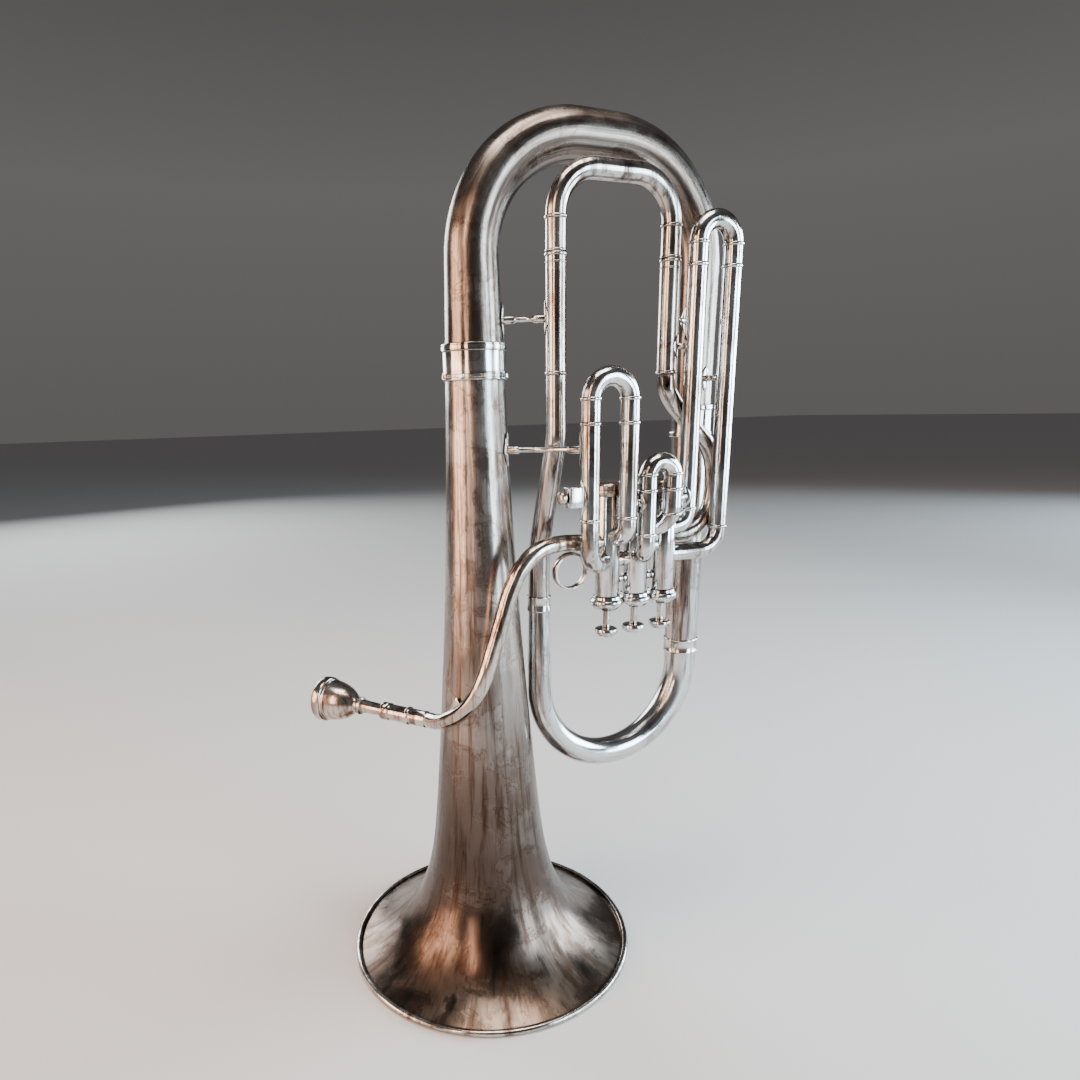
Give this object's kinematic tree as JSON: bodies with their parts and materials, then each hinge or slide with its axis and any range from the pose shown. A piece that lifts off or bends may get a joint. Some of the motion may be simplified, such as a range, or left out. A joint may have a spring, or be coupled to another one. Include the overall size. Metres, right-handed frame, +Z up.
{
  "type": "upright valved brass horn",
  "caption": "Upright baritone horn of the tuba family standing on its bell, with piston valves that press, pull-out tuning slides and a removable mouthpiece.",
  "frame": {"origin": "middle of the bounding box's bottom face, on the floor the bell rim stands on", "axes": "+Z up along the bell axis; +X from the bell towards the far leg of the big bow; the valves are on the -Y side, which is the front"},
  "size_m": [0.332, 0.236, 0.6382],
  "materials": {
    "silver_plate": "polished silver plate over brass",
    "worn_silver_plate": "worn, darkened silver plate over brass",
    "tarnished_silver_plate": "satin silver plate with brown tarnish over brass",
    "nickel_plate": "polished nickel plate over brass",
    "spring_steel": "drawn wire"
  },
  "bodies": {
    "horn": {"bell": "tarnished_silver_plate", "bell_rim": "silver_plate", "big_bow": "worn_silver_plate", "bell_bow_ferrule": "silver_plate", "bow_branch_ferrule": "silver_plate", "right_branch": "worn_silver_plate", "lower_bow": "silver_plate", "low_bow_ferrule_right": "silver_plate", "left_branch": "worn_silver_plate", "low_bow_ferrule_left": "silver_plate", "tuning_sleeve_left": "worn_silver_plate", "tuning_sleeve_right": "worn_silver_plate", "valve_1_casing": "silver_plate", "valve_1_finger_cap": "silver_plate", "valve_1_bottom_cap": "silver_plate", "valve_1_spring": "spring_steel", "valve_2_casing": "silver_plate", "valve_2_finger_cap": "silver_plate", "valve_2_bottom_cap": "silver_plate", "valve_2_spring": "spring_steel", "valve_3_casing": "silver_plate", "valve_3_finger_cap": "silver_plate", "valve_3_bottom_cap": "silver_plate", "valve_3_spring": "spring_steel", "valve_link_12": "silver_plate", "valve_tie_12": "silver_plate", "valve_link_23": "silver_plate", "valve_tie_23": "silver_plate", "slide_1_sleeve_left": "silver_plate", "slide_1_sleeve_right": "silver_plate", "slide_2_sleeve_left": "silver_plate", "slide_2_sleeve_right": "silver_plate", "slide_3_sleeve_left": "silver_plate", "slide_3_sleeve_right": "silver_plate", "outlet_tube": "worn_silver_plate", "leadpipe": "silver_plate", "mouthpiece_receiver": "silver_plate", "brace_bow_tuning": "silver_plate", "brace_bell_slide_1": "silver_plate", "brace_tuning_branch": "silver_plate", "brace_tuning_slide_3": "silver_plate", "brace_branch_slide_3": "silver_plate", "leadpipe_saddle": "silver_plate", "thumb_ring": "silver_plate", "lyre_holder": "silver_plate"},
    "tuning_slide": {"tuning_slide": "worn_silver_plate"},
    "slide_1": {"slide_1": "silver_plate"},
    "slide_2": {"slide_2": "silver_plate"},
    "slide_3": {"slide_3": "silver_plate"},
    "valve_1": {"valve_1_piston": "nickel_plate", "valve_1_button": "silver_plate"},
    "valve_2": {"valve_2_piston": "nickel_plate", "valve_2_button": "silver_plate"},
    "valve_3": {"valve_3_piston": "nickel_plate", "valve_3_button": "silver_plate"},
    "mouthpiece": {"mouthpiece": "worn_silver_plate"},
    "lyre_screw": {"lyre_screw": "silver_plate"}
  },
  "joints": [
    {"name": "tuning_slide_pull", "type": "slide", "parent": "horn", "child": "tuning_slide", "axis": [0, 0, 1], "range_m": [0, 0.045]},
    {"name": "slide_1_pull", "type": "slide", "parent": "horn", "child": "slide_1", "axis": [0, 0, 1], "range_m": [0, 0.04]},
    {"name": "slide_2_pull", "type": "slide", "parent": "horn", "child": "slide_2", "axis": [0, 0, 1], "range_m": [0, 0.01]},
    {"name": "slide_3_pull", "type": "slide", "parent": "horn", "child": "slide_3", "axis": [0, 0, 1], "range_m": [0, 0.09]},
    {"name": "valve_1_press", "type": "slide", "parent": "horn", "child": "valve_1", "axis": [0, 0, 1], "range_m": [0, 0.012], "stiffness_N_per_m": 260, "springref_m": -0.01, "deforming": ["valve_1_spring"]},
    {"name": "valve_2_press", "type": "slide", "parent": "horn", "child": "valve_2", "axis": [0, 0, 1], "range_m": [0, 0.012], "stiffness_N_per_m": 260, "springref_m": -0.01, "deforming": ["valve_2_spring"]},
    {"name": "valve_3_press", "type": "slide", "parent": "horn", "child": "valve_3", "axis": [0, 0, 1], "range_m": [0, 0.012], "stiffness_N_per_m": 260, "springref_m": -0.01, "deforming": ["valve_3_spring"]},
    {"name": "mouthpiece_pull", "type": "slide", "parent": "horn", "child": "mouthpiece", "axis": [-0.6643, 0.7463, 0.042], "range_m": [0, 0.03]},
    {"name": "lyre_screw_turn", "type": "hinge", "parent": "horn", "child": "lyre_screw", "pos_m": [0.0074, -0.0583, 0.382], "axis": [-1, 0, 0], "range_deg": [0, 720]}
  ]
}
